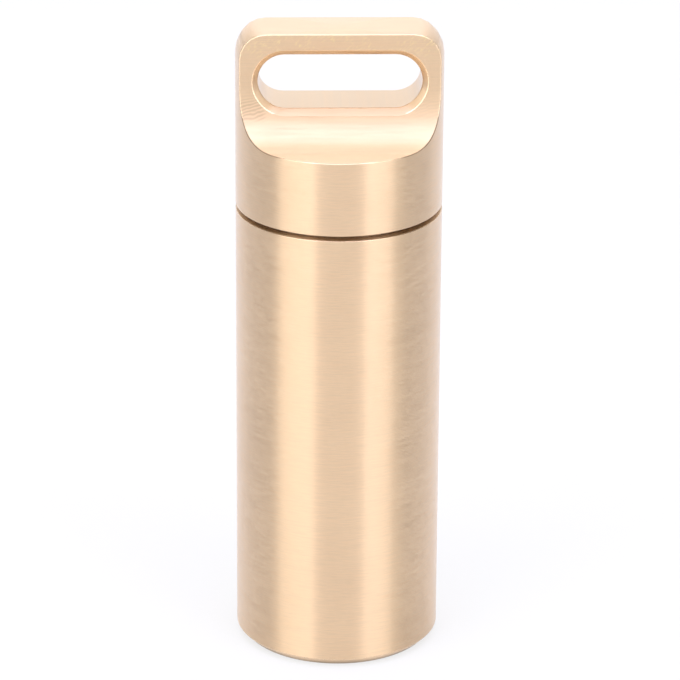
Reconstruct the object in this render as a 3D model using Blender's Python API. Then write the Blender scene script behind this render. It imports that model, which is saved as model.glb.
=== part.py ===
"""A brass pill capsule container, closed and standing on its base: a tube, a screw cap and its seal.

The tube is turned and bored from its mouth. The cap is one turned blank, with a plug under it that
carries the thread and the sealing ring. Above the skirt the blank is milled away at the front and
the back, down to a rounded saddle, and what is left is a flat bow with a slot for a key ring.
Metres, +Z up, with the origin at the middle of the base and the bow's slot running along Y.
"""

import math

import bmesh
import bpy
from mathutils import Vector

# Tube
BODY_RADIUS = 0.0100
BODY_HEIGHT = 0.0450
BORE_WALL = 0.00265
SEAT_WALL = 0.0012
FLOOR_THICKNESS = 0.0025
FLOOR_FILLET = 0.0010
FOOT_CHAMFER = 0.0008
MOUTH_CHAMFER = 0.0003
EDGE_CHAMFER = 0.00015

# Cap above the seam
SEAM_GAP = 0.0004
SKIRT_HEIGHT = 0.0073
BOW_THICKNESS = 0.0055
SADDLE_RADIUS = 0.0050
CORNER_RADIUS = 0.0020
SLOT_SIDE_WALL = 0.00215
SLOT_HEIGHT = 0.0052
SLOT_RISE = 0.00305
SLOT_RIM_CHAMFER = 0.00055
BAR_HEIGHT = 0.00215

# Plug under the cap, from its neck down to its tip. The thread is taken at its mid height.
NECK_LENGTH = 0.0009
GLAND_WIDTH = 0.0021
GLAND_DEPTH = 0.00115
COLLAR_LENGTH = 0.0009
THREAD_DEPTH = 0.0008
THREAD_LENGTH = 0.0048
THREAD_RELIEF = 0.0006
THREAD_LEAD = 0.0004
TIP_CHAMFER = 0.0005

# Sealing ring
SEAL_CORD = 0.0015

# Clearances between the pieces
NECK_CLEARANCE = 0.00015
STOP_CLEARANCE = 0.00005
THREAD_CLEARANCE = 0.0001
TIP_CLEARANCE = 0.0005
SEAL_CLEARANCE = 0.00005

# Colours
BRASS_COLOR = (0.80, 0.60, 0.36)
RUBBER_COLOR = (0.02, 0.02, 0.02)

# Facets, and how far a cutter runs past what it cuts
TURN_STEPS = 96
ARC_STEPS = 8
SADDLE_STEPS = 14
SEAL_STEPS = 12
SHARP_ANGLE = math.radians(22.0)
EASED_ANGLE = math.radians(50.0)
MERGE_DISTANCE = 0.000001
CROWDED_DISTANCE = 0.0001
OVERRUN = 0.002

# Heights worked out from the sizes above
CAP_BASE = BODY_HEIGHT + SEAM_GAP
SLOT_FLOOR = SKIRT_HEIGHT + SLOT_RISE
CAP_TOP = SLOT_FLOOR + SLOT_HEIGHT + BAR_HEIGHT
GLAND_TOP = -NECK_LENGTH
GLAND_BOTTOM = GLAND_TOP - GLAND_WIDTH
COLLAR_BOTTOM = GLAND_BOTTOM - COLLAR_LENGTH
PLUG_TIP = COLLAR_BOTTOM - THREAD_LENGTH

# Radii worked out from the sizes above
BORE_RADIUS = BODY_RADIUS - BORE_WALL
SEAT_RADIUS = BODY_RADIUS - SEAT_WALL
NECK_RADIUS = SEAT_RADIUS - NECK_CLEARANCE
GLAND_RADIUS = NECK_RADIUS - GLAND_DEPTH
THREAD_RADIUS = BORE_RADIUS + THREAD_DEPTH / 2
HALF_CLEARANCE = THREAD_CLEARANCE / 2


def clear_scene():
    """Remove every object that the file opens with."""
    for item in list(bpy.data.objects):
        bpy.data.objects.remove(item, do_unlink=True)


def plain_material(name, color, metallic, roughness):
    """A Principled material of one colour."""
    material = bpy.data.materials.new(name)
    material.use_nodes = True
    shader = material.node_tree.nodes["Principled BSDF"]
    shader.inputs["Base Color"].default_value = (*color, 1.0)
    shader.inputs["Metallic"].default_value = metallic
    shader.inputs["Roughness"].default_value = roughness
    return material


def arc(centre, radii, start, end, steps):
    """Points of an elliptical arc about a centre, with both ends, by angles in degrees."""
    points = []
    for step in range(steps + 1):
        angle = math.radians(start + (end - start) * step / steps)
        points.append((
            centre[0] + radii[0] * math.cos(angle),
            centre[1] + radii[1] * math.sin(angle),
        ))
    return points


def turned_mesh(name, profile, closed=False):
    """Turn a profile of (radius, height) points about Z. It runs down its outer side."""
    shape = bmesh.new()
    points = [shape.verts.new((radius, 0.0, height)) for radius, height in profile]
    runs = list(zip(points, points[1:]))
    if closed:
        runs.append((points[-1], points[0]))
    edges = [shape.edges.new(run) for run in runs]
    bmesh.ops.spin(
        shape,
        geom=points + edges,
        axis=(0.0, 0.0, 1.0),
        cent=(0.0, 0.0, 0.0),
        angle=math.tau,
        steps=TURN_STEPS,
        use_merge=True,
    )
    bmesh.ops.remove_doubles(shape, verts=shape.verts, dist=MERGE_DISTANCE)
    bmesh.ops.recalc_face_normals(shape, faces=shape.faces)
    return finished_mesh(name, shape)


def extruded_mesh(name, outline, half_length):
    """A block with an outline in the XZ plane, extruded both ways along Y."""
    shape = bmesh.new()
    face = shape.faces.new([shape.verts.new((x, -half_length, z)) for x, z in outline])
    block = bmesh.ops.extrude_face_region(shape, geom=[face])["geom"]
    moved = [item for item in block if isinstance(item, bmesh.types.BMVert)]
    bmesh.ops.translate(shape, vec=(0.0, 2 * half_length, 0.0), verts=moved)
    bmesh.ops.recalc_face_normals(shape, faces=shape.faces)
    return finished_mesh(name, shape)


def milled_face(height):
    """How far the milled faces stand off the bow's middle plane at a height."""
    drop = max(0.0, SKIRT_HEIGHT + SADDLE_RADIUS - height)
    return BOW_THICKNESS / 2 + SADDLE_RADIUS - math.sqrt(SADDLE_RADIUS ** 2 - drop ** 2)


def slot_flare(x, z, across, up):
    """Points from the slot's throat over its chamfer and out past the bow, at one place of its outline."""
    rim_height = z + SLOT_RIM_CHAMFER * up
    throat = Vector((x, milled_face(z) - SLOT_RIM_CHAMFER, z))
    rim = Vector((x + SLOT_RIM_CHAMFER * across, milled_face(rim_height), rim_height))
    past = rim + (rim - throat)
    return [throat, past, Vector((past.x, BODY_RADIUS + OVERRUN, past.z))]


def slot_mesh(name):
    """The slot's cutter: a flat bar with round sides, which flares at both faces of the bow."""
    end_radius = SLOT_HEIGHT / 2
    end_centre = BODY_RADIUS - SLOT_SIDE_WALL - end_radius
    middle = SLOT_FLOOR + end_radius
    shape = bmesh.new()
    columns = []
    for centre, start in ((end_centre, -90.0), (-end_centre, 90.0)):
        for across, up in arc((0.0, 0.0), (1.0, 1.0), start, start + 180.0, 2 * ARC_STEPS):
            back = slot_flare(centre + end_radius * across, middle + end_radius * up, across, up)
            front = [Vector((point.x, -point.y, point.z)) for point in reversed(back)]
            columns.append([shape.verts.new(point) for point in front + back])
    for left, right in zip(columns, columns[1:] + columns[:1]):
        for place in range(len(left) - 1):
            shape.faces.new((left[place], right[place], right[place + 1], left[place + 1]))
    shape.faces.new([column[0] for column in columns])
    shape.faces.new([column[-1] for column in columns])
    bmesh.ops.recalc_face_normals(shape, faces=shape.faces)
    return finished_mesh(name, shape)


def finished_mesh(name, shape):
    """Write a bmesh to a mesh of its own and free it."""
    mesh = bpy.data.meshes.new(name)
    shape.to_mesh(mesh)
    shape.free()
    return mesh


def add_piece(name, mesh, material, parent=None, height=0.0):
    """Place a piece on the container's axis, at a height above its parent's origin."""
    piece = bpy.data.objects.new(name, mesh)
    piece.location.z = height
    piece.parent = parent
    piece.data.materials.append(material)
    bpy.context.scene.collection.objects.link(piece)
    return piece


def add_cutter(name, mesh, parent, turn):
    """Place a cutter, turned about Z. It is drawn as wire and isn't a piece."""
    cutter = bpy.data.objects.new(name, mesh)
    cutter.rotation_euler.z = turn
    cutter.parent = parent
    cutter.hide_render = True
    cutter.display_type = "WIRE"
    bpy.context.scene.collection.objects.link(cutter)
    return cutter


def cut(piece, cutter):
    """Take a cutter's shape out of a piece."""
    boolean = piece.modifiers.new(cutter.name, "BOOLEAN")
    boolean.operation = "DIFFERENCE"
    boolean.solver = "EXACT"
    boolean.object = cutter


def keep_cuts(piece):
    """Keep a piece's cuts in its mesh."""
    view = bpy.context.evaluated_depsgraph_get()
    mesh = bpy.data.meshes.new_from_object(piece.evaluated_get(view))
    piece.modifiers.clear()
    piece.data = mesh


def ease_edges(mesh, lowest):
    """Break the milled edges above a height with a narrow flat, as deburring leaves them."""
    shape = bmesh.new()
    shape.from_mesh(mesh)
    corners = [corner for corner in shape.verts if corner.co.z > lowest]
    bmesh.ops.remove_doubles(shape, verts=corners, dist=CROWDED_DISTANCE)
    shape.normal_update()
    edges = []
    for edge in shape.edges:
        high = min(corner.co.z for corner in edge.verts) > lowest
        if high and edge.calc_face_angle() > EASED_ANGLE:
            edges.append(edge)
    bmesh.ops.bevel(
        shape,
        geom=edges,
        offset=EDGE_CHAMFER,
        segments=1,
        profile=0.5,
        affect="EDGES",
        miter_outer="SHARP",
        clamp_overlap=False,
    )
    shape.to_mesh(mesh)
    shape.free()


def shade(mesh):
    """Shade a mesh smooth between its sharp edges."""
    mesh.shade_smooth()
    mesh.set_sharp_from_angle(angle=SHARP_ANGLE)


def build_body(brass):
    """The tube: a blind bore with a rounded floor, the thread's bore, the seal's seat and the mouth."""
    seat_floor = CAP_BASE + COLLAR_BOTTOM - STOP_CLEARANCE
    thread_radius = THREAD_RADIUS + HALF_CLEARANCE
    thread_floor = CAP_BASE + PLUG_TIP - TIP_CLEARANCE
    thread_step = thread_radius - BORE_RADIUS
    profile = [(0.0, FLOOR_THICKNESS)]
    fillet_centre = (BORE_RADIUS - FLOOR_FILLET, FLOOR_THICKNESS + FLOOR_FILLET)
    profile += arc(fillet_centre, (FLOOR_FILLET, FLOOR_FILLET), -90.0, 0.0, ARC_STEPS)
    profile += [
        (BORE_RADIUS, thread_floor - thread_step),
        (thread_radius, thread_floor),
        (thread_radius, seat_floor - THREAD_LEAD),
        (thread_radius + THREAD_LEAD, seat_floor),
        (SEAT_RADIUS, seat_floor),
        (SEAT_RADIUS, BODY_HEIGHT - MOUTH_CHAMFER),
        (SEAT_RADIUS + MOUTH_CHAMFER, BODY_HEIGHT),
        (BODY_RADIUS - EDGE_CHAMFER, BODY_HEIGHT),
        (BODY_RADIUS, BODY_HEIGHT - EDGE_CHAMFER),
        (BODY_RADIUS, FOOT_CHAMFER),
        (BODY_RADIUS - FOOT_CHAMFER, 0.0),
        (0.0, 0.0),
    ]
    mesh = turned_mesh("container_body", profile)
    shade(mesh)
    add_piece("container_body", mesh, brass)


def build_cap(brass, carrier):
    """The cap: a turned blank, milled to a bow between two saddles and slotted for a key ring."""
    thread_radius = THREAD_RADIUS - HALF_CLEARANCE
    root_radius = thread_radius - THREAD_DEPTH / 2
    corner_centre = (BODY_RADIUS - CORNER_RADIUS, CAP_TOP - CORNER_RADIUS)
    profile = [(0.0, CAP_TOP)]
    profile += arc(corner_centre, (CORNER_RADIUS, CORNER_RADIUS), 90.0, 0.0, ARC_STEPS)
    profile += [
        (BODY_RADIUS, EDGE_CHAMFER),
        (BODY_RADIUS - EDGE_CHAMFER, 0.0),
        (NECK_RADIUS, 0.0),
        (NECK_RADIUS, GLAND_TOP),
        (GLAND_RADIUS, GLAND_TOP),
        (GLAND_RADIUS, GLAND_BOTTOM),
        (NECK_RADIUS, GLAND_BOTTOM),
        (NECK_RADIUS, COLLAR_BOTTOM),
        (root_radius, COLLAR_BOTTOM),
        (root_radius, COLLAR_BOTTOM - THREAD_RELIEF),
        (thread_radius, COLLAR_BOTTOM - THREAD_RELIEF),
        (thread_radius, PLUG_TIP + TIP_CHAMFER),
        (thread_radius - TIP_CHAMFER, PLUG_TIP),
        (0.0, PLUG_TIP),
    ]
    cap = add_piece("screw_cap", turned_mesh("screw_cap", profile), brass, carrier)

    half_bow = BOW_THICKNESS / 2
    rim = BODY_RADIUS + OVERRUN
    arc_centre = (half_bow + SADDLE_RADIUS, SKIRT_HEIGHT + SADDLE_RADIUS)
    outline = [(half_bow, CAP_TOP + OVERRUN)]
    outline += arc(arc_centre, (SADDLE_RADIUS, SADDLE_RADIUS), 180.0, 270.0, SADDLE_STEPS)
    outline += [(rim, SKIRT_HEIGHT), (rim, CAP_TOP + OVERRUN)]
    saddle = extruded_mesh("saddle_cutter", outline, rim)
    cut(cap, add_cutter("front_saddle_cutter", saddle, carrier, -math.pi / 2))
    cut(cap, add_cutter("back_saddle_cutter", saddle, carrier, math.pi / 2))

    cut(cap, add_cutter("slot_cutter", slot_mesh("slot_cutter"), carrier, 0.0))
    keep_cuts(cap)
    ease_edges(cap.data, SKIRT_HEIGHT / 2)
    shade(cap.data)


def build_seal(rubber, carrier):
    """The sealing ring, drawn as it lies in its gland, squeezed from a round cord to an oval."""
    half_width = (SEAT_RADIUS - GLAND_RADIUS) / 2 - SEAL_CLEARANCE
    half_height = (SEAL_CORD / 2) ** 2 / half_width
    centre = (GLAND_RADIUS + SEAL_CLEARANCE + half_width, 0.0)
    section = arc(centre, (half_width, half_height), 360.0, 0.0, SEAL_STEPS)[:-1]
    mesh = turned_mesh("o_ring_seal", section, closed=True)
    mesh.shade_smooth()
    add_piece("o_ring_seal", mesh, rubber, carrier, (GLAND_TOP + GLAND_BOTTOM) / 2)


def main():
    """Build the container with its cap screwed down."""
    clear_scene()
    body_brass = plain_material("body_brass", BRASS_COLOR, 1.0, 0.32)
    cap_brass = plain_material("cap_brass", BRASS_COLOR, 1.0, 0.28)
    seal_rubber = plain_material("seal_rubber", RUBBER_COLOR, 0.0, 0.55)
    build_body(body_brass)
    carrier = bpy.data.objects.new("cap_carrier", None)
    carrier.location.z = CAP_BASE
    bpy.context.scene.collection.objects.link(carrier)
    bpy.context.view_layer.update()
    build_cap(cap_brass, carrier)
    build_seal(seal_rubber, carrier)
    bpy.context.view_layer.update()


main()
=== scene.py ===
"""The looks of a brass pill capsule container with a screw cap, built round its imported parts."""

import math

import bmesh
import bpy
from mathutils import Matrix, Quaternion, Vector


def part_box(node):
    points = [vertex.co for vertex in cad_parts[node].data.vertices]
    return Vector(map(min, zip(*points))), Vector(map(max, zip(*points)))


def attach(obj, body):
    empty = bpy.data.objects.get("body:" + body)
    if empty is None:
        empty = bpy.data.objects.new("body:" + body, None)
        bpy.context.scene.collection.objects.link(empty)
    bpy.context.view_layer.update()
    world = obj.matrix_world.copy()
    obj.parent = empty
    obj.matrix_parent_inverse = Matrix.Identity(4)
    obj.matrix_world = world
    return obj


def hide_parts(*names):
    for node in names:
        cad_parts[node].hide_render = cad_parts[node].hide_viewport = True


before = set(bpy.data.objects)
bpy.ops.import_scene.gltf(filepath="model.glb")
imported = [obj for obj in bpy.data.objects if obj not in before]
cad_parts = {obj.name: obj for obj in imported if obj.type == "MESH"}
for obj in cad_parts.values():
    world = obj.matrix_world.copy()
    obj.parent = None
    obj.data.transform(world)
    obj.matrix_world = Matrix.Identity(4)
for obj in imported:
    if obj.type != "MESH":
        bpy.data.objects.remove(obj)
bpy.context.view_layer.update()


# The tube
# It is turned from brass bar and bored from its mouth, where it has the internal thread and, above
# that, the smooth seat of the sealing ring. Its outside is brushed round and round and left bare.

tube_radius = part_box("container_body")[1].x
tube_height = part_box("container_body")[1].z
plug_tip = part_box("screw_cap")[0].z
bore_wall = 0.00265
seat_wall = 0.0012
seat_depth = 0.00355
floor_thickness = 0.0025
floor_fillet = 0.0010
foot_chamfer = 0.0008
foot_easing = 0.0002
mouth_chamfer = 0.0003
mouth_easing = 0.0001
rim_easing = 0.00006
rim_drop = 0.0001
inner_easing = 0.00006
thread_pitch = 0.0015
thread_depth = 0.0008
thread_clearance = 0.0001
thread_below_plug = 0.0005
turn_steps = 192
rows_in_a_pitch = 24
widest_easing_step = math.radians(22.0)
merge_distance = 0.000001
widest_worn_easing = 0.0005
smallest_radius = 0.000001
stretch_tolerance = 0.000005
tooth_root_share = 0.19
tooth_crest_share = 0.81
smooth_angle = math.radians(25.0)
flat_face_weight = 90

brass_color = (0.82, 0.588, 0.348, 1.0)
worn_brass_color = (0.96, 0.80, 0.57, 1.0)
tarnish_color = (0.62, 0.42, 0.23, 1.0)
# Painted shade: the dark brown given to the gap between the tube and the cap.
seam_shade_color = (0.48, 0.27, 0.10, 1.0)
# The dark colour of the chatter marks. It is also the painted shade on the foot's bottom edge and the
# saddles' lower edges.
dark_mark_and_shade_color = (0.25, 0.15, 0.07, 1.0)
seam_gap = 0.0004
seam_middle = tube_height + seam_gap / 2
brush_stroke = 0.0014
brush_line = 0.00009
lay_middle = 0.00001
broad_scale = 0.42
patch_scale = 0.11
fine_share = 0.6
broad_share = 0.28
patch_share = 0.12
broad_relief = 0.6
noise_roughness = 0.6
brushing_relief = 0.12
brushing_depth = 0.000003
shade_range = (0.34, 0.66)
darkest_mark = 0.94
lightest_mark = 1.06
gloss_range = (0.30, 0.70)
smoothest_mark = 0.30
roughest_mark = 0.50
cloud_scale = 160.0
cloud_range = (0.35, 0.75)
tarnish_share = 0.10
tarnish_roughness = 0.02
worn_share = 0.15
worn_roughness = -0.14
painted_shade_share = 0.8
across_strokes = 0.25
film_roughness = 0.3
film_ior = 1.6


def eased_outline(corners):
    """Points of an outline and the wear of each, from corners of radius, height and easing."""
    points = []
    for place, (radius, height, easing) in enumerate(corners):
        corner = Vector((radius, height))
        if easing == 0.0 or place in (0, len(corners) - 1):
            points.append((corner, 0.0))
            continue
        before = (Vector(corners[place - 1][:2]) - corner).normalized()
        after = (Vector(corners[place + 1][:2]) - corner).normalized()
        half_angle = before.angle(after) / 2
        reach = easing / math.tan(half_angle)
        centre = corner + (before + after).normalized() * easing / math.sin(half_angle)
        start = corner + before * reach - centre
        end = corner + after * reach - centre
        swing = start.angle(end)
        steps = max(3, math.ceil(swing / widest_easing_step))
        for step in range(steps + 1):
            share = step / steps
            arm = start * math.sin((1 - share) * swing) + end * math.sin(share * swing)
            wear = 1.0 if 0 < step < steps and easing < widest_worn_easing else 0.0
            points.append((centre + arm / math.sin(swing), wear))
    return points


def rows_between(radius, low, high):
    """Corners that follow each other up a plain stretch, close enough together for a thread."""
    count = math.ceil((high - low) / thread_pitch * rows_in_a_pitch)
    return [(radius, low + (high - low) * row / count, 0.0) for row in range(count + 1)]


def turned_blank(name, outline, closed=False):
    """An outline of points turned about the Z axis, as a lathe leaves it."""
    shape = bmesh.new()
    worn_edge = shape.verts.layers.float.new("worn_edge")
    shape.verts.layers.float.new("painted_shade_edge")
    points = []
    for place, wear in outline:
        point = shape.verts.new((place.x, 0.0, place.y))
        point[worn_edge] = wear
        points.append(point)
    runs = list(zip(points, points[1:]))
    if closed:
        runs.append((points[-1], points[0]))
    edges = [shape.edges.new(run) for run in runs]
    bmesh.ops.spin(
        shape,
        geom=points + edges,
        axis=(0.0, 0.0, 1.0),
        cent=(0.0, 0.0, 0.0),
        angle=math.tau,
        steps=turn_steps,
        use_merge=True,
    )
    bmesh.ops.remove_doubles(shape, verts=shape.verts, dist=merge_distance)
    bmesh.ops.recalc_face_normals(shape, faces=shape.faces)
    mesh = bpy.data.meshes.new(name)
    shape.to_mesh(mesh)
    shape.free()
    piece = bpy.data.objects.new(name, mesh)
    bpy.context.scene.collection.objects.link(piece)
    return piece


def calculate(tree, operation, *terms):
    """The output of a Math node, whose terms are sockets or plain numbers."""
    node = tree.nodes.new("ShaderNodeMath")
    node.operation = operation
    for place, term in enumerate(terms):
        if isinstance(term, bpy.types.NodeSocket):
            tree.links.new(term, node.inputs[place])
        else:
            node.inputs[place].default_value = term
    return node.outputs[0]


def radius_at(tree, place):
    """How far a place is from the axis."""
    squares = calculate(tree, "MULTIPLY", place["X"], place["X"])
    squares = calculate(tree, "MULTIPLY_ADD", place["Y"], place["Y"], squares)
    return calculate(tree, "SQRT", squares)


def thread_cutting():
    """A tree that cuts a right-hand thread into a blank's plain stretch, about the blank's radius."""
    tree = bpy.data.node_groups.new("thread_cutting", "GeometryNodeTree")
    sockets = tree.interface
    sockets.new_socket(name="Blank", in_out="INPUT", socket_type="NodeSocketGeometry")
    for size in ("Blank Radius", "Thread Depth", "Pitch", "Low End", "High End"):
        sockets.new_socket(name=size, in_out="INPUT", socket_type="NodeSocketFloat")
    sockets.new_socket(name="Wide Mouth", in_out="INPUT", socket_type="NodeSocketBool")
    sockets.new_socket(name="Metal", in_out="INPUT", socket_type="NodeSocketMaterial")
    sockets.new_socket(name="Part", in_out="OUTPUT", socket_type="NodeSocketGeometry")
    given = tree.nodes.new("NodeGroupInput").outputs
    half_depth = calculate(tree, "MULTIPLY", given["Thread Depth"], 0.5)
    root = calculate(tree, "SUBTRACT", given["Blank Radius"], half_depth)
    crest = calculate(tree, "ADD", given["Blank Radius"], half_depth)

    position = tree.nodes.new("GeometryNodeInputPosition").outputs["Position"]
    parts = tree.nodes.new("ShaderNodeSeparateXYZ")
    tree.links.new(position, parts.inputs["Vector"])
    radius = radius_at(tree, parts.outputs)
    height = parts.outputs["Z"]
    angle = calculate(tree, "ARCTAN2", parts.outputs["Y"], parts.outputs["X"])

    # The tooth is a trapezoid along the pitch, with flanks 30 degrees off square
    around = calculate(tree, "DIVIDE", angle, math.tau)
    along = calculate(tree, "DIVIDE", height, given["Pitch"])
    phase = calculate(tree, "FRACT", calculate(tree, "SUBTRACT", along, around))
    zigzag = calculate(tree, "ABSOLUTE", calculate(tree, "MULTIPLY_ADD", phase, 2.0, -1.0))
    tooth = tree.nodes.new("ShaderNodeMapRange")
    tooth.inputs["From Min"].default_value = tooth_root_share
    tooth.inputs["From Max"].default_value = tooth_crest_share
    tree.links.new(zigzag, tooth.inputs["Value"])
    tree.links.new(root, tooth.inputs["To Min"])
    tree.links.new(crest, tooth.inputs["To Max"])

    # Both ends run out at 45 degrees, and the mouth of an internal thread runs out wide
    above_low = calculate(tree, "ADD", root, calculate(tree, "SUBTRACT", height, given["Low End"]))
    below_high = calculate(tree, "SUBTRACT", given["High End"], height)
    cut = calculate(tree, "MINIMUM", tooth.outputs["Result"], above_low)
    narrow = calculate(tree, "MINIMUM", cut, calculate(tree, "ADD", root, below_high))
    wide = calculate(tree, "MAXIMUM", cut, calculate(tree, "SUBTRACT", crest, below_high))
    mouth = tree.nodes.new("GeometryNodeSwitch")
    mouth.input_type = "FLOAT"
    tree.links.new(given["Wide Mouth"], mouth.inputs["Switch"])
    tree.links.new(narrow, mouth.inputs["False"])
    tree.links.new(wide, mouth.inputs["True"])
    divisor = calculate(tree, "MAXIMUM", radius, smallest_radius)
    growth = calculate(tree, "DIVIDE", mouth.outputs["Output"], divisor)
    moved = tree.nodes.new("ShaderNodeCombineXYZ")
    tree.links.new(calculate(tree, "MULTIPLY", parts.outputs["X"], growth), moved.inputs["X"])
    tree.links.new(calculate(tree, "MULTIPLY", parts.outputs["Y"], growth), moved.inputs["Y"])
    tree.links.new(height, moved.inputs["Z"])

    # Only the points of the plain stretch move
    off_radius = calculate(tree, "ABSOLUTE", calculate(tree, "SUBTRACT", radius, given["Blank Radius"]))
    both_ends = calculate(tree, "ADD", given["Low End"], given["High End"])
    middle = calculate(tree, "MULTIPLY", both_ends, 0.5)
    half_stretch = calculate(tree, "SUBTRACT", given["High End"], middle)
    off_middle = calculate(tree, "ABSOLUTE", calculate(tree, "SUBTRACT", height, middle))
    off_ends = calculate(tree, "SUBTRACT", off_middle, half_stretch)
    off_stretch = calculate(tree, "MAXIMUM", off_radius, off_ends)
    on_stretch = calculate(tree, "LESS_THAN", off_stretch, stretch_tolerance)
    placing = tree.nodes.new("GeometryNodeSetPosition")
    tree.links.new(given["Blank"], placing.inputs["Geometry"])
    tree.links.new(on_stretch, placing.inputs["Selection"])
    tree.links.new(moved.outputs["Vector"], placing.inputs["Position"])
    solid = tree.nodes.new("GeometryNodeRealizeInstances")
    metal = tree.nodes.new("GeometryNodeSetMaterial")
    tree.links.new(placing.outputs["Geometry"], solid.inputs["Geometry"])
    tree.links.new(solid.outputs["Geometry"], metal.inputs["Geometry"])
    tree.links.new(given["Metal"], metal.inputs["Material"])
    result = tree.nodes.new("NodeGroupOutput")
    tree.links.new(metal.outputs["Geometry"], result.inputs["Part"])
    return tree


def keep_result(piece):
    """Turn what a piece's modifiers make into its plain mesh."""
    view = bpy.context.evaluated_depsgraph_get()
    mesh = bpy.data.meshes.new_from_object(piece.evaluated_get(view))
    piece.modifiers.clear()
    piece.data = mesh


def cut_thread(piece, tree, settings):
    """Cut a thread in a piece with a tree, by the names of its settings."""
    cutting = piece.modifiers.new("thread", "NODES")
    cutting.node_group = tree
    for socket in tree.interface.items_tree:
        if socket.name in settings:
            cutting[socket.identifier] = settings[socket.name]
    keep_result(piece)


def shade_smooth(piece):
    """Shade a piece smooth between its sharp edges, with its flats kept flat."""
    piece.data.shade_smooth()
    piece.data.set_sharp_from_angle(angle=smooth_angle)
    weighting = piece.modifiers.new("flats", "WEIGHTED_NORMAL")
    weighting.keep_sharp = True
    weighting.weight = flat_face_weight
    keep_result(piece)


def new_group(name, inputs, outputs):
    """A shader node group with named sockets, and its input and output nodes."""
    group = bpy.data.node_groups.new(name, "ShaderNodeTree")
    for socket, kind in inputs:
        group.interface.new_socket(name=socket, in_out="INPUT", socket_type=kind)
    for socket, kind in outputs:
        group.interface.new_socket(name=socket, in_out="OUTPUT", socket_type=kind)
    return group, group.nodes.new("NodeGroupInput"), group.nodes.new("NodeGroupOutput")


def noise(tree, vector, scale, detail=2.0):
    """The value of a Noise Texture at a place."""
    node = tree.nodes.new("ShaderNodeTexNoise")
    node.inputs["Scale"].default_value = scale
    node.inputs["Detail"].default_value = detail
    node.inputs["Roughness"].default_value = noise_roughness
    tree.links.new(vector, node.inputs["Vector"])
    return node.outputs["Fac"]


def brushing_marks():
    """Fine lines along the brushing. The lay is measured in strokes along it and in lines across it."""
    group, given, result = new_group(
        "brushing_marks",
        [("Lay", "NodeSocketVector")],
        [("Tone", "NodeSocketFloat"), ("Height", "NodeSocketFloat")],
    )
    lay = given.outputs["Lay"]
    fine = noise(group, lay, 1.0)
    broad = noise(group, lay, broad_scale, detail=1.0)
    patches = noise(group, lay, patch_scale, detail=1.0)
    tone = calculate(group, "MULTIPLY", fine, fine_share)
    tone = calculate(group, "MULTIPLY_ADD", broad, broad_share, tone)
    tone = calculate(group, "MULTIPLY_ADD", patches, patch_share, tone)
    group.links.new(tone, result.inputs["Tone"])
    height = calculate(group, "MULTIPLY_ADD", broad, broad_relief, fine)
    group.links.new(height, result.inputs["Height"])
    return group


def mix_colors(tree, amount, first, second, blend="MIX"):
    """The result of mixing two colours, each a socket or a plain colour."""
    node = tree.nodes.new("ShaderNodeMix")
    node.data_type = "RGBA"
    node.blend_type = blend
    # A Mix node takes its factor at socket 0 and its two colours at 6 and 7
    for place, value in ((0, amount), (6, first), (7, second)):
        if isinstance(value, bpy.types.NodeSocket):
            tree.links.new(value, node.inputs[place])
        else:
            node.inputs[place].default_value = value
    return node.outputs[2]


def ramp(tree, value, low, high, to_low=0.0, to_high=1.0):
    """A value mapped smoothly from one range to another, and held at its ends."""
    node = tree.nodes.new("ShaderNodeMapRange")
    node.interpolation_type = "SMOOTHSTEP"
    node.inputs["From Min"].default_value = low
    node.inputs["From Max"].default_value = high
    node.inputs["To Min"].default_value = to_low
    node.inputs["To Max"].default_value = to_high
    tree.links.new(value, node.inputs["Value"])
    return node.outputs["Result"]


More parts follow.
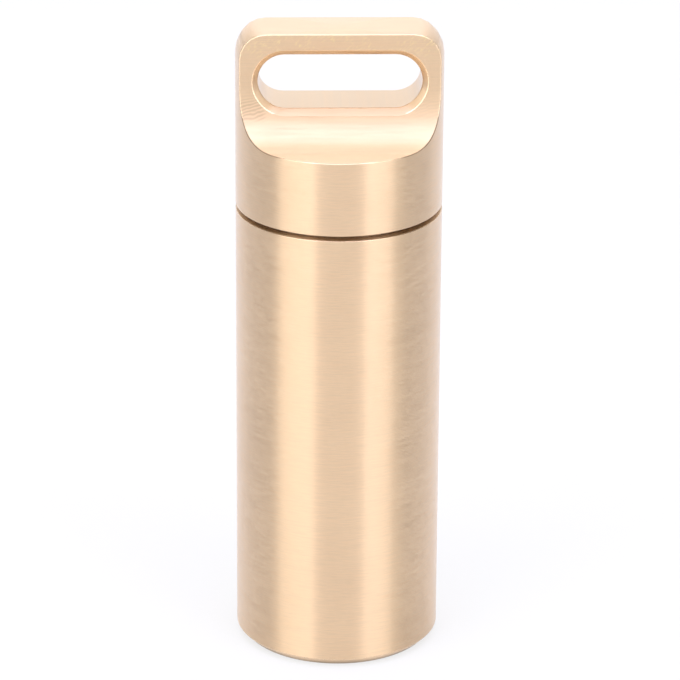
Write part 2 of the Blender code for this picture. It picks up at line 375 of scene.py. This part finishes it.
def bare_brass_surface():
    """Colour and roughness of brass: brushing, tarnish, worn edges, and painted shade on some edges and
    in the seam.
    """
    group, given, result = new_group(
        "bare_brass_surface",
        [
            ("Place", "NodeSocketVector"),
            ("Tone", "NodeSocketFloat"),
            ("Worn", "NodeSocketFloat"),
            ("Painted Shade", "NodeSocketFloat"),
            ("Coarseness", "NodeSocketFloat"),
        ],
        [("Color", "NodeSocketColor"), ("Roughness", "NodeSocketFloat")],
    )
    place = given.outputs["Place"]
    tone = given.outputs["Tone"]
    clouds = ramp(group, noise(group, place, cloud_scale, detail=3.0), *cloud_range)
    tarnish = calculate(group, "MULTIPLY", clouds, tarnish_share)
    color = mix_colors(group, tarnish, brass_color, tarnish_color)
    shade = ramp(group, tone, *shade_range, darkest_mark, lightest_mark)
    gray = group.nodes.new("ShaderNodeCombineColor")
    for channel in ("Red", "Green", "Blue"):
        group.links.new(shade, gray.inputs[channel])
    color = mix_colors(group, 1.0, color, gray.outputs["Color"], "MULTIPLY")
    bright = calculate(group, "MULTIPLY", given.outputs["Worn"], worn_share)
    color = mix_colors(group, bright, color, worn_brass_color)
    # Painted shade on the edges marked for it: the foot's bottom edge and the saddles' lower ends.
    painted_shade = calculate(group, "MULTIPLY", given.outputs["Painted Shade"], painted_shade_share)
    color = mix_colors(group, painted_shade, color, dark_mark_and_shade_color)
    # Painted shade in the seam: the gap between the tube's mouth and the cap's skirt is mixed towards
    # dark brown.
    parts = group.nodes.new("ShaderNodeSeparateXYZ")
    group.links.new(place, parts.inputs["Vector"])
    above_seam = calculate(group, "SUBTRACT", parts.outputs["Z"], seam_middle)
    off_seam = calculate(group, "ABSOLUTE", above_seam)
    sheltered = ramp(group, off_seam, seam_gap / 2, seam_gap, 1.0, 0.0)
    radius = radius_at(group, parts.outputs)
    inside = ramp(group, radius, tube_radius - seam_gap, tube_radius, 1.0, 0.0)
    color = mix_colors(group, calculate(group, "MULTIPLY", sheltered, inside), color, seam_shade_color)
    group.links.new(color, result.inputs["Color"])
    roughness = ramp(group, tone, *gloss_range, smoothest_mark, roughest_mark)
    roughness = calculate(group, "MULTIPLY_ADD", clouds, tarnish_roughness, roughness)
    roughness = calculate(group, "MULTIPLY_ADD", given.outputs["Worn"], worn_roughness, roughness)
    roughness = calculate(group, "ADD", roughness, given.outputs["Coarseness"])
    group.links.new(roughness, result.inputs["Roughness"])
    return group


def place_group(tree, group):
    """A group placed in a material's tree."""
    node = tree.nodes.new("ShaderNodeGroup")
    node.node_tree = group
    return node


def surface_place(tree):
    """The place of a surface on its piece, whole and as its X, Y and Z."""
    place = tree.nodes.new("ShaderNodeTexCoord").outputs["Object"]
    parts = tree.nodes.new("ShaderNodeSeparateXYZ")
    tree.links.new(place, parts.inputs["Vector"])
    return place, parts.outputs


def brass_material(name, lay_of, direction_of, contrast=1.0, spread=1.0, coarseness=0.0):
    """Bare brushed brass, with the film that polishing leaves. Its lay and direction go by its place."""
    material = bpy.data.materials.new(name)
    material.use_nodes = True
    tree = material.node_tree
    shader = tree.nodes["Principled BSDF"]
    place, parts = surface_place(tree)
    lay = tree.nodes.new("ShaderNodeCombineXYZ")
    for axis, value in zip("XYZ", lay_of(tree, parts)):
        tree.links.new(value, lay.inputs[axis])
    marks = place_group(tree, brushing)
    tree.links.new(lay.outputs["Vector"], marks.inputs["Lay"])
    surface = place_group(tree, bare_brass)
    tree.links.new(place, surface.inputs["Place"])
    tone = calculate(tree, "MULTIPLY_ADD", marks.outputs["Tone"], contrast, (1.0 - contrast) / 2)
    tree.links.new(tone, surface.inputs["Tone"])
    for mask, attribute in (("Worn", "worn_edge"), ("Painted Shade", "painted_shade_edge")):
        edge = tree.nodes.new("ShaderNodeAttribute")
        edge.attribute_name = attribute
        tree.links.new(edge.outputs["Fac"], surface.inputs[mask])
    surface.inputs["Coarseness"].default_value = coarseness
    bump = tree.nodes.new("ShaderNodeBump")
    bump.inputs["Strength"].default_value = brushing_relief
    bump.inputs["Distance"].default_value = brushing_depth
    tree.links.new(marks.outputs["Height"], bump.inputs["Height"])
    direction = tree.nodes.new("ShaderNodeVectorTransform")
    direction.vector_type = "VECTOR"
    direction.convert_from = "OBJECT"
    direction.convert_to = "WORLD"
    tree.links.new(direction_of(tree, parts), direction.inputs["Vector"])
    tree.links.new(surface.outputs["Color"], shader.inputs["Base Color"])
    tree.links.new(surface.outputs["Roughness"], shader.inputs["Roughness"])
    tree.links.new(bump.outputs["Normal"], shader.inputs["Normal"])
    tree.links.new(direction.outputs["Vector"], shader.inputs["Tangent"])
    shader.inputs["Metallic"].default_value = 1.0
    shader.inputs["Anisotropic"].default_value = spread
    shader.inputs["Anisotropic Rotation"].default_value = across_strokes
    shader.inputs["Coat Weight"].default_value = 1.0
    shader.inputs["Coat Roughness"].default_value = film_roughness
    shader.inputs["Coat IOR"].default_value = film_ior
    return material


def turned_lay(tree, place):
    """Strokes that run round the axis, and lines across them along the outline."""
    radius = calculate(tree, "MAXIMUM", radius_at(tree, place), lay_middle)
    strokes = calculate(tree, "DIVIDE", tube_radius / brush_stroke, radius)
    return (
        calculate(tree, "MULTIPLY", place["X"], strokes),
        calculate(tree, "MULTIPLY", place["Y"], strokes),
        calculate(tree, "DIVIDE", calculate(tree, "ADD", place["Z"], radius), brush_line),
    )


def turned_direction(tree, place):
    """Round the axis, square to the line from it."""
    direction = tree.nodes.new("ShaderNodeCombineXYZ")
    tree.links.new(calculate(tree, "MULTIPLY", place["Y"], -1.0), direction.inputs["X"])
    tree.links.new(place["X"], direction.inputs["Y"])
    return direction.outputs["Vector"]


brushing = brushing_marks()
bare_brass = bare_brass_surface()
turned_brass = brass_material("turned_brass", turned_lay, turned_direction)

bore_radius = tube_radius - bore_wall
thread_middle = bore_radius + thread_depth / 2
seat_radius = tube_radius - seat_wall
seat_floor = tube_height - seat_depth
female_radius = thread_middle + thread_clearance / 2
female_low = plug_tip - thread_below_plug
corners = [
    (0.0, floor_thickness, 0.0),
    (bore_radius, floor_thickness, floor_fillet),
    (bore_radius, female_low - thread_clearance, 0.0),
]
corners += rows_between(female_radius, female_low, seat_floor)
corners += [
    (seat_radius, seat_floor, inner_easing),
    (seat_radius, tube_height - mouth_chamfer - rim_drop, mouth_easing),
    (seat_radius + mouth_chamfer, tube_height - rim_drop, mouth_easing),
    (tube_radius, tube_height - rim_drop, rim_easing),
    (tube_radius, foot_chamfer, foot_easing),
    (tube_radius - foot_chamfer, 0.0, foot_easing),
    (0.0, 0.0, 0.0),
]
tube = turned_blank("brass_tube", eased_outline(corners))
# Painted shade: the foot's bottom edge is darkened as if it reflected the shadow under it, and is not
# marked worn.
for place, point in enumerate(tube.data.vertices):
    if 0.0 < point.co.z < foot_easing / 2:
        tube.data.attributes["worn_edge"].data[place].value = 0.0
        tube.data.attributes["painted_shade_edge"].data[place].value = 1.0
threading = thread_cutting()
cut_thread(tube, threading, {
    "Blank Radius": female_radius,
    "Thread Depth": thread_depth,
    "Pitch": thread_pitch,
    "Low End": female_low,
    "High End": seat_floor,
    "Wide Mouth": True,
    "Metal": turned_brass,
})
shade_smooth(tube)
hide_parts("container_body")
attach(tube, "container")


# The cap
# One brass turning with a threaded plug under it. Above the skirt it is milled away at the front and
# the back, down to a rounded saddle, and the flat bow that is left has a slot for a key ring, whose
# rim is chamfered so that it doesn't cut into a cord.

skirt_bottom = tube_height + seam_gap
cap_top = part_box("screw_cap")[1].z
skirt_height = 0.0073
bow_thickness = 0.0055
saddle_radius = 0.0050
shoulder_radius = 0.0025
slot_side_wall = 0.00215
slot_height = 0.0052
slot_rim_chamfer = 0.00055
bar_height = 0.00215
milled_easing = 0.0001
milled_stroke = 0.0040
# How far from the axis the painted shadow along the saddles' lower edges starts, and how high it
# reaches.
edge_shade_start = 0.0058
edge_shade_height = 0.0024
neck_length = 0.0009
gland_width = 0.0021
gland_depth = 0.00115
collar_length = 0.0009
thread_relief = 0.0006
neck_clearance = 0.00015
tip_easing = 0.00015
saddle_steps = 26
slot_steps = 20
sharpest_kept_angle = math.radians(30.0)
overrun = 0.002
flare_overrun = 0.2
crowded_distance = 0.00006
half_bow = bow_thickness / 2
saddle_floor = skirt_bottom + skirt_height
cleared = tube_radius + overrun
slot_radius = slot_height / 2
slot_middle = cap_top - bar_height - slot_radius
slot_centre = tube_radius - slot_side_wall - slot_radius
crown_low = cap_top - shoulder_radius * 0.6
crown_high = cap_top - shoulder_radius * 0.3

scuffed_brass_color = (0.96, 0.74, 0.37, 1.0)
slot_line = 0.0004
scuff_length = 0.0008
scuff_width = 0.0003
scuff_range = (0.46, 0.68)
scuff_share = 0.6
scuff_patch_scale = 800.0
scuff_patch_range = (0.38, 0.58)
chatter_length = 0.0003
chatter_low = 0.0018
chatter_high = 0.0046
chatter_reach = 0.0068
chatter_low_fade = 0.0006
chatter_high_fade = 0.0012
chatter_side_fade = 0.0008
chatter_slope = -0.25
chatter_waver = 7.0
chatter_waver_scale = 0.6
chatter_range = (0.2, 0.8)
chatter_share = 0.24
fainter_side = 0.25


def milled_lay(tree, place):
    """Strokes that run along the bow, and lines across them."""
    return (
        calculate(tree, "DIVIDE", place["X"], milled_stroke),
        calculate(tree, "DIVIDE", place["Y"], brush_line),
        calculate(tree, "DIVIDE", place["Z"], brush_line),
    )


def fixed_direction(axis):
    """A direction that is the same all over the piece."""
    def direction_of(tree, place):
        direction = tree.nodes.new("ShaderNodeCombineXYZ")
        direction.inputs[axis].default_value = 1.0
        return direction.outputs["Vector"]
    return direction_of


def crown_direction(tree, place):
    """Along the bow on its top, and round the axis where its corners end."""
    node = tree.nodes.new("ShaderNodeMix")
    node.data_type = "VECTOR"
    tree.links.new(ramp(tree, place["Z"], crown_low, crown_high), node.inputs["Factor"])
    # A Mix node takes its two vectors at sockets 4 and 5
    tree.links.new(turned_direction(tree, place), node.inputs[4])
    node.inputs[5].default_value = (tube_radius, 0.0, 0.0)
    return node.outputs[1]


def slot_lay(tree, place):
    """Broad strokes all through the slot, as the milling cutter's side leaves them."""
    return (
        calculate(tree, "DIVIDE", place["X"], slot_line),
        calculate(tree, "DIVIDE", place["Y"], 2 * bow_thickness),
        calculate(tree, "DIVIDE", place["Z"], slot_line),
    )


def rim_lay(tree, place):
    """Strokes that run round the slot's rim, and lines across them."""
    return (
        calculate(tree, "DIVIDE", place["X"], brush_stroke),
        calculate(tree, "DIVIDE", place["Z"], brush_stroke),
        calculate(tree, "DIVIDE", place["Y"], brush_line),
    )


def rim_direction(tree, place):
    """Round the slot, along its straight sides and about its ends."""
    nearest = calculate(tree, "MAXIMUM", place["X"], -slot_centre)
    nearest = calculate(tree, "MINIMUM", nearest, slot_centre)
    direction = tree.nodes.new("ShaderNodeCombineXYZ")
    tree.links.new(calculate(tree, "SUBTRACT", slot_middle, place["Z"]), direction.inputs["X"])
    tree.links.new(calculate(tree, "SUBTRACT", place["X"], nearest), direction.inputs["Z"])
    return direction.outputs["Vector"]


def arc_points(centre, radius, start, end, steps):
    """Points of an arc about a centre, by angles in degrees."""
    points = []
    for step in range(steps + 1):
        angle = math.radians(start + (end - start) * step / steps)
        points.append((centre[0] + radius * math.cos(angle), centre[1] + radius * math.sin(angle)))
    return points


def cutter_piece(name, shape, metals):
    """A cutter's own object, with the metals that it leaves on what it cuts."""
    bmesh.ops.recalc_face_normals(shape, faces=shape.faces)
    mesh = bpy.data.meshes.new(name)
    shape.to_mesh(mesh)
    shape.free()
    for metal in metals:
        mesh.materials.append(metal)
    cutter = bpy.data.objects.new(name, mesh)
    bpy.context.scene.collection.objects.link(cutter)
    return cutter


def saddle_cutter(name, turn):
    """What milling a saddle takes away: an outline in X and Z, swept along Y and turned about Z."""
    outline = [(half_bow, cap_top + overrun)]
    centre = (half_bow + saddle_radius, saddle_floor + saddle_radius)
    outline += arc_points(centre, saddle_radius, 180.0, 270.0, saddle_steps)
    outline += [(cleared, saddle_floor), (cleared, cap_top + overrun)]
    shape = bmesh.new()
    face = shape.faces.new([shape.verts.new((x, -cleared, z)) for x, z in outline])
    block = bmesh.ops.extrude_face_region(shape, geom=[face])["geom"]
    moved = [item for item in block if isinstance(item, bmesh.types.BMVert)]
    bmesh.ops.translate(shape, vec=(0.0, 2 * cleared, 0.0), verts=moved)
    cutter = cutter_piece(name, shape, [milled_brass])
    cutter.rotation_euler.z = turn
    return cutter


def milled_face(height):
    """How far the milled faces stand off the bow's middle plane at a height."""
    drop = max(0.0, saddle_floor + saddle_radius - height)
    return half_bow + saddle_radius - math.sqrt(saddle_radius ** 2 - drop ** 2)


def slot_flare(x, z, across, up):
    """Points from the slot's throat over its chamfered rim and out past the bow."""
    throat = Vector((x, milled_face(z) - slot_rim_chamfer, z))
    rim_height = z + slot_rim_chamfer * up
    rim = Vector((x + slot_rim_chamfer * across, milled_face(rim_height), rim_height))
    past = rim + (rim - throat) * flare_overrun
    return [throat, past, Vector((past.x, cleared, past.z))]


def slot_cutter(name):
    """A flat bar with round sides, which flares at both faces of the bow."""
    shape = bmesh.new()
    columns = []
    for centre, start in ((slot_centre, -90.0), (-slot_centre, 90.0)):
        for across, up in arc_points((0.0, 0.0), 1.0, start, start + 180.0, slot_steps):
            back = slot_flare(centre + slot_radius * across, slot_middle + slot_radius * up, across, up)
            front = [Vector((point.x, -point.y, point.z)) for point in reversed(back)]
            columns.append([shape.verts.new(point) for point in front + back])
    half_way = len(columns[0]) // 2 - 1
    for left, right in zip(columns, columns[1:] + columns[:1]):
        for place in range(len(left) - 1):
            facet = shape.faces.new((left[place], right[place], right[place + 1], left[place + 1]))
            facet.material_index = 0 if place == half_way else 1
    shape.faces.new([column[0] for column in columns])
    shape.faces.new([column[-1] for column in columns])
    return cutter_piece(name, shape, [slot_brass, rim_brass])


def mill(piece, cutters):
    """Take each cutter's shape out of a piece, and leave the cutter's metal on what it cut."""
    for cutter in cutters:
        pass_cut = piece.modifiers.new(cutter.name, "BOOLEAN")
        pass_cut.operation = "DIFFERENCE"
        pass_cut.solver = "EXACT"
        pass_cut.material_mode = "TRANSFER"
        pass_cut.object = cutter
    keep_result(piece)
    for cutter in cutters:
        bpy.data.objects.remove(cutter, do_unlink=True)


def ease_milled_edges(mesh, lowest):
    """Round the milled edges above a height and mark them worn, or mark them for painted shadow at the
    saddles' lower ends.
    """
    shape = bmesh.new()
    shape.from_mesh(mesh)
    worn_edge = shape.verts.layers.float.get("worn_edge")
    painted_shade_edge = shape.verts.layers.float.get("painted_shade_edge")
    high_points = [point for point in shape.verts if point.co.z > lowest]
    bmesh.ops.remove_doubles(shape, verts=high_points, dist=crowded_distance)
    shape.normal_update()
    milled_edges = []
    for edge in shape.edges:
        is_high = min(point.co.z for point in edge.verts) > lowest
        if is_high and edge.calc_face_angle() > sharpest_kept_angle:
            milled_edges.append(edge)
    eased = bmesh.ops.bevel(
        shape,
        geom=milled_edges,
        offset=milled_easing,
        segments=3,
        profile=0.5,
        affect="EDGES",
        material=mesh.materials.find(milled_brass.name),
        miter_outer="SHARP",
        clamp_overlap=False,
    )
    new_faces = set(eased["faces"])
    for point in eased["verts"]:
        is_eased = all(face in new_faces for face in point.link_faces)
        # Painted shadow: the eased edges at the saddles' lower ends get a dark line instead of wear.
        takes_edge_shade = abs(point.co.x) > edge_shade_start and point.co.z < saddle_floor + edge_shade_height
        point[worn_edge] = 1.0 if is_eased and not takes_edge_shade else 0.0
        point[painted_shade_edge] = 1.0 if is_eased and takes_edge_shade else 0.0
    shape.to_mesh(mesh)
    shape.free()


def tint(material, amount, color):
    """Mix a colour into a material's own, by an amount that changes over the surface."""
    tree = material.node_tree
    base = tree.nodes["Principled BSDF"].inputs["Base Color"]
    tree.links.new(mix_colors(tree, amount, base.links[0].from_socket, color), base)


def add_scuffs(material):
    """Short slanting scuffs on the bar over the slot, where the key ring knocks on it."""
    tree = material.node_tree
    place, parts = surface_place(tree)
    along = calculate(tree, "ADD", parts["X"], parts["Z"])
    across = calculate(tree, "SUBTRACT", parts["X"], parts["Z"])
    slanted = tree.nodes.new("ShaderNodeCombineXYZ")
    tree.links.new(calculate(tree, "DIVIDE", along, scuff_length), slanted.inputs["X"])
    tree.links.new(calculate(tree, "DIVIDE", across, scuff_width), slanted.inputs["Y"])
    scuffs = ramp(tree, noise(tree, slanted.outputs["Vector"], 1.0, detail=3.0), *scuff_range)
    bar_low = cap_top - bar_height
    where = ramp(tree, parts["Z"], bar_low - slot_rim_chamfer, bar_low + slot_rim_chamfer)
    patches = ramp(tree, noise(tree, place, scuff_patch_scale), *scuff_patch_range)
    where = calculate(tree, "MULTIPLY", where, patches)
    amount = calculate(tree, "MULTIPLY", calculate(tree, "MULTIPLY", scuffs, where), scuff_share)
    tint(material, amount, scuffed_brass_color)


def add_chatter(material):
    """Wavy lines beside the slot, where the cutter shook as it came down the wall."""
    tree = material.node_tree
    place, parts = surface_place(tree)
    waves = tree.nodes.new("ShaderNodeTexWave")
    waves.bands_direction = "Z"
    # At a scale of 1 the texture's waves go through 20 radians in each metre
    waves.inputs["Scale"].default_value = math.tau / (20 * chatter_length)
    waves.inputs["Distortion"].default_value = chatter_waver
    waves.inputs["Detail"].default_value = 2.0
    waves.inputs["Detail Scale"].default_value = chatter_waver_scale
    tilted = tree.nodes.new("ShaderNodeCombineXYZ")
    rise = calculate(tree, "MULTIPLY_ADD", parts["X"], chatter_slope, parts["Z"])
    tree.links.new(parts["X"], tilted.inputs["X"])
    tree.links.new(rise, tilted.inputs["Z"])
    tree.links.new(tilted.outputs["Vector"], waves.inputs["Vector"])
    height = calculate(tree, "SUBTRACT", parts["Z"], saddle_floor)
    side = calculate(tree, "ABSOLUTE", parts["X"])
    amount = ramp(tree, waves.outputs["Fac"], *chatter_range, 0.0, chatter_share)
    for value, low, high, at_low, at_high in (
        (height, chatter_low, chatter_low + chatter_low_fade, 0.0, 1.0),
        (height, chatter_high - chatter_high_fade, chatter_high, 1.0, 0.0),
        (side, chatter_reach, chatter_reach + chatter_side_fade, 0.0, 1.0),
        (parts["X"], -chatter_reach, chatter_reach, 1.0, fainter_side),
    ):
        where = ramp(tree, value, low, high, at_low, at_high)
        amount = calculate(tree, "MULTIPLY", amount, where)
    tint(material, amount, dark_mark_and_shade_color)


crown_brass = brass_material("crown_brass", milled_lay, crown_direction, contrast=0.55, spread=0.85)
milled_brass = brass_material("milled_brass", milled_lay, fixed_direction("X"), contrast=0.7)
slot_brass = brass_material(
    "slot_brass", slot_lay, fixed_direction("Y"), contrast=0.4, spread=0.5, coarseness=-0.04
)
rim_brass = brass_material("rim_brass", rim_lay, rim_direction)
add_chatter(milled_brass)
add_scuffs(milled_brass)

male_radius = thread_middle - thread_clearance / 2
male_root = male_radius - thread_depth / 2
neck_radius = seat_radius - neck_clearance
gland_radius = neck_radius - gland_depth
gland_top = skirt_bottom - neck_length
gland_bottom = gland_top - gland_width
collar_bottom = gland_bottom - collar_length
male_high = collar_bottom - thread_relief
corners = [
    (0.0, cap_top, 0.0),
    (tube_radius, cap_top, shoulder_radius),
    (tube_radius, skirt_bottom, rim_easing),
    (neck_radius, skirt_bottom, inner_easing),
    (neck_radius, gland_top, inner_easing),
    (gland_radius, gland_top, inner_easing),
    (gland_radius, gland_bottom, inner_easing),
    (neck_radius, gland_bottom, inner_easing),
    (neck_radius, collar_bottom, tip_easing),
    (male_root, collar_bottom, inner_easing),
    (male_root, male_high + inner_easing, 0.0),
]
corners += reversed(rows_between(male_radius, plug_tip, male_high))
corners += [(0.0, plug_tip, 0.0)]
cap = turned_blank("brass_screw_cap", eased_outline(corners))
cut_thread(cap, threading, {
    "Blank Radius": male_radius,
    "Thread Depth": thread_depth,
    "Pitch": thread_pitch,
    "Low End": plug_tip,
    "High End": male_high,
    "Wide Mouth": False,
    "Metal": turned_brass,
})

cap.data.materials.append(crown_brass)
for facet in cap.data.polygons:
    if facet.center.z > crown_low:
        facet.material_index = 1

mill(cap, [
    saddle_cutter("front_saddle", -math.pi / 2),
    saddle_cutter("back_saddle", math.pi / 2),
    slot_cutter("key_ring_slot"),
])
ease_milled_edges(cap.data, skirt_bottom + skirt_height / 2)
shade_smooth(cap)
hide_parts("screw_cap")
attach(cap, "cap")


# The sealing ring
# A black rubber O-ring that is squeezed between the plug's gland and the tube's seat. It is moulded,
# so it has a fine flash line round its outside, and it shows only while the cap is off.

seal_cord = 0.0015
seal_clearance = 0.00005
seal_steps = 36
rubber_color = (0.018, 0.018, 0.019, 1.0)
worn_rubber_color = (0.055, 0.054, 0.052, 1.0)
flash_height = 0.00002
flash_width = 0.00006
bloom_scale = 500.0
bloom_range = (0.45, 0.75)
bloom_share = 0.5
clean_roughness = 0.42
bloomed_roughness = 0.62
grain_scale = 9000.0
grain_share = 0.25
rubber_relief = 0.6

half_width = (seat_radius - gland_radius) / 2 - seal_clearance
half_height = (seal_cord / 2) ** 2 / half_width
seal_middle = (gland_top + gland_bottom) / 2
section = []
for step in range(seal_steps):
    angle = -math.tau * step / seal_steps
    section.append((
        Vector((
            gland_radius + seal_clearance + half_width * (1 + math.cos(angle)),
            seal_middle + half_height * math.sin(angle),
        )),
        0.0,
    ))
seal = turned_blank("rubber_sealing_ring", section, closed=True)

rubber = bpy.data.materials.new("sealing_rubber")
rubber.use_nodes = True
tree = rubber.node_tree
shader = tree.nodes["Principled BSDF"]
place, parts = surface_place(tree)
bloom = ramp(tree, noise(tree, place, bloom_scale, detail=4.0), *bloom_range)
faded = calculate(tree, "MULTIPLY", bloom, bloom_share)
color = mix_colors(tree, faded, rubber_color, worn_rubber_color)
roughness = ramp(tree, bloom, 0.0, 1.0, clean_roughness, bloomed_roughness)
tree.links.new(color, shader.inputs["Base Color"])
tree.links.new(roughness, shader.inputs["Roughness"])
off_middle = calculate(tree, "ABSOLUTE", calculate(tree, "SUBTRACT", parts["Z"], seal_middle))
flash = ramp(tree, off_middle, 0.0, flash_width, 1.0, 0.0)
grain = calculate(tree, "MULTIPLY_ADD", noise(tree, place, grain_scale), grain_share, flash)
bump = tree.nodes.new("ShaderNodeBump")
bump.inputs["Strength"].default_value = rubber_relief
bump.inputs["Distance"].default_value = flash_height
tree.links.new(grain, bump.inputs["Height"])
tree.links.new(bump.outputs["Normal"], shader.inputs["Normal"])
seal.data.materials.append(rubber)
seal.data.shade_smooth()
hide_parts("o_ring_seal")
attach(seal, "seal")


# The floor
# A plain white table under the container. It shows to the camera and in the metal as the white that
# it is, and still takes the container's soft shadow.

floor_size = 4.0
floor_drop = 0.00005
floor_white = (0.72, 0.72, 0.72, 1.0)
glow_seen = 0.75
glow_mirrored = 0.35

shape = bmesh.new()
bmesh.ops.create_grid(shape, x_segments=1, y_segments=1, size=floor_size / 2)
bmesh.ops.translate(shape, vec=(0.0, 0.0, -floor_drop), verts=shape.verts)
floor_mesh = bpy.data.meshes.new("white_table")
shape.to_mesh(floor_mesh)
shape.free()
floor = bpy.data.objects.new("white_table", floor_mesh)
bpy.context.scene.collection.objects.link(floor)
table_top = bpy.data.materials.new("white_table_top")
table_top.use_nodes = True
tree = table_top.node_tree
tree.nodes.clear()
matte = tree.nodes.new("ShaderNodeBsdfDiffuse")
matte.inputs["Color"].default_value = floor_white
glow = tree.nodes.new("ShaderNodeEmission")
mixing = tree.nodes.new("ShaderNodeMixShader")
path = tree.nodes.new("ShaderNodeLightPath").outputs
seen = calculate(tree, "MAXIMUM", path["Is Camera Ray"], path["Is Transmission Ray"])
mirrored = calculate(tree, "MULTIPLY", path["Is Glossy Ray"], glow_mirrored)
share = calculate(tree, "MAXIMUM", calculate(tree, "MULTIPLY", seen, glow_seen), mirrored)
tree.links.new(share, mixing.inputs["Fac"])
tree.links.new(matte.outputs["BSDF"], mixing.inputs[1])
tree.links.new(glow.outputs["Emission"], mixing.inputs[2])
surface_output = tree.nodes.new("ShaderNodeOutputMaterial")
tree.links.new(mixing.outputs["Shader"], surface_output.inputs["Surface"])
floor.data.materials.append(table_top)


# The camera
# It looks down on the container from the front, through a long lens, with the bow turned a little
# off square to it.

camera_target = Vector((0.00018667, 0.0, 0.03078752))
camera_distance = 0.41578
camera_heading = math.radians(1.528)
camera_pitch = math.radians(22.173)
camera_roll = math.radians(0.335)
camera_lens = 224.4
film_width = 36.0
nearest_seen = 0.01
furthest_seen = 20.0

level_forward = Vector((math.sin(camera_heading), math.cos(camera_heading), 0.0))
level_right = Vector((math.cos(camera_heading), -math.sin(camera_heading), 0.0))
forward = level_forward * math.cos(camera_pitch) - Vector((0.0, 0.0, math.sin(camera_pitch)))
camera = bpy.data.objects.new("camera", bpy.data.cameras.new("camera"))
camera.data.lens = camera_lens
camera.data.sensor_width = film_width
camera.data.clip_start = nearest_seen
camera.data.clip_end = furthest_seen
camera.location = camera_target - forward * camera_distance
camera.rotation_mode = "QUATERNION"
camera.rotation_quaternion = forward.to_track_quat("-Z", "Y")
camera.rotation_quaternion.rotate(Quaternion(forward, -camera_roll))
bpy.context.scene.collection.objects.link(camera)
bpy.context.scene.camera = camera


# The studio
# A white room with a tall soft lamp at each side of the camera, one high above it and a faint one
# behind. Beyond each side lamp stand three gray cards in a row, which keep the container's flanks
# from going white. Angles are taken from the camera's own direction.

side_lamp_distance = 0.70
side_lamp_top = 1.1
left_lamp_angles = (-68.0, -25.0)
right_lamp_angles = (29.0, 62.0)
side_lamp_radiance = 1.68
cards = {"dark": (75.0, 118.0, 0.41), "gray": (118.0, 138.0, 0.71), "pale": (138.0, 160.0, 0.86)}
card_tint = (1.02, 1.0, 0.93)
card_distance = 0.9
card_height = 1.2
left_lamp_color = (0.90, 0.91, 1.02)
right_lamp_color = (0.89, 0.92, 1.12)
top_lamp_distance = 0.9
top_lamp_angles = (57.0, 105.0)
top_lamp_width = 0.8
top_lamp_radiance = 2.8
top_lamp_color = (0.70, 0.70, 1.02)
rear_lamp_distance = 1.2
rear_lamp_size = 1.6
rear_lamp_radiance = 0.16
rear_lamp_color = (0.5, 0.55, 0.9)
room_white = (1.0, 1.0, 1.0, 1.0)


def round_the_camera(degrees, distance, height):
    """A place by its angle to the right of the camera's own direction, seen from the container."""
    angle = math.radians(degrees)
    level = level_right * math.sin(angle) - level_forward * math.cos(angle)
    return level * distance + Vector((0.0, 0.0, height))


def soft_lamp(name, place, facing, width, height, radiance, color):
    """An area lamp whose power gives its face a plain brightness."""
    lamp = bpy.data.lights.new(name, "AREA")
    lamp.shape = "RECTANGLE"
    lamp.size = width
    lamp.size_y = height
    lamp.energy = radiance * math.pi * width * height
    lamp.color = color
    piece = bpy.data.objects.new(name, lamp)
    piece.location = place
    piece.rotation_euler = facing.to_track_quat("-Z", "Y").to_euler()
    bpy.context.scene.collection.objects.link(piece)


for name, (near, far), color in (
    ("left_lamp", left_lamp_angles, left_lamp_color),
    ("right_lamp", right_lamp_angles, right_lamp_color),
):
    width = 2 * side_lamp_distance * math.tan(math.radians(far - near) / 2)
    middle = round_the_camera((near + far) / 2, side_lamp_distance, side_lamp_top / 2)
    inward = Vector((-middle.x, -middle.y, 0.0))
    soft_lamp(name, middle, inward, width, side_lamp_top, side_lamp_radiance, color)
near, far = top_lamp_angles
climb = math.radians((near + far) / 2)
middle = (Vector((0.0, 0.0, math.sin(climb))) - level_forward * math.cos(climb)) * top_lamp_distance
length = 2 * top_lamp_distance * math.tan(math.radians(far - near) / 2)
soft_lamp("top_lamp", middle, -middle, top_lamp_width, length, top_lamp_radiance, top_lamp_color)
middle = round_the_camera(180.0, rear_lamp_distance, rear_lamp_size / 2)
inward = Vector((-middle.x, -middle.y, 0.0))
size = rear_lamp_size
soft_lamp("rear_lamp", middle, inward, size, size, rear_lamp_radiance, rear_lamp_color)

for tone, (near, far, gray) in cards.items():
    card_paper = bpy.data.materials.new(tone + "_card")
    card_paper.use_nodes = True
    paper = card_paper.node_tree.nodes["Principled BSDF"]
    paper.inputs["Base Color"].default_value = (*(gray * share for share in card_tint), 1.0)
    paper.inputs["Roughness"].default_value = 1.0
    paper.inputs["Specular IOR Level"].default_value = 0.0
    for side, name in ((-1.0, "left_"), (1.0, "right_")):
        start = round_the_camera(side * near, card_distance, 0.0)
        end = round_the_camera(side * far, card_distance, 0.0)
        top = Vector((0.0, 0.0, card_height))
        mesh = bpy.data.meshes.new(name + card_paper.name)
        mesh.from_pydata([start, end, end + top, start + top], [], [(0, 1, 2, 3)])
        mesh.materials.append(card_paper)
        card = bpy.data.objects.new(mesh.name, mesh)
        card.visible_camera = False
        bpy.context.scene.collection.objects.link(card)

world = bpy.data.worlds.new("white_room")
world.use_nodes = True
world.node_tree.nodes["Background"].inputs["Color"].default_value = room_white
world.node_tree.nodes["Background"].inputs["Strength"].default_value = 1.0
bpy.context.scene.world = world
bpy.context.scene.view_settings.view_transform = "Standard"
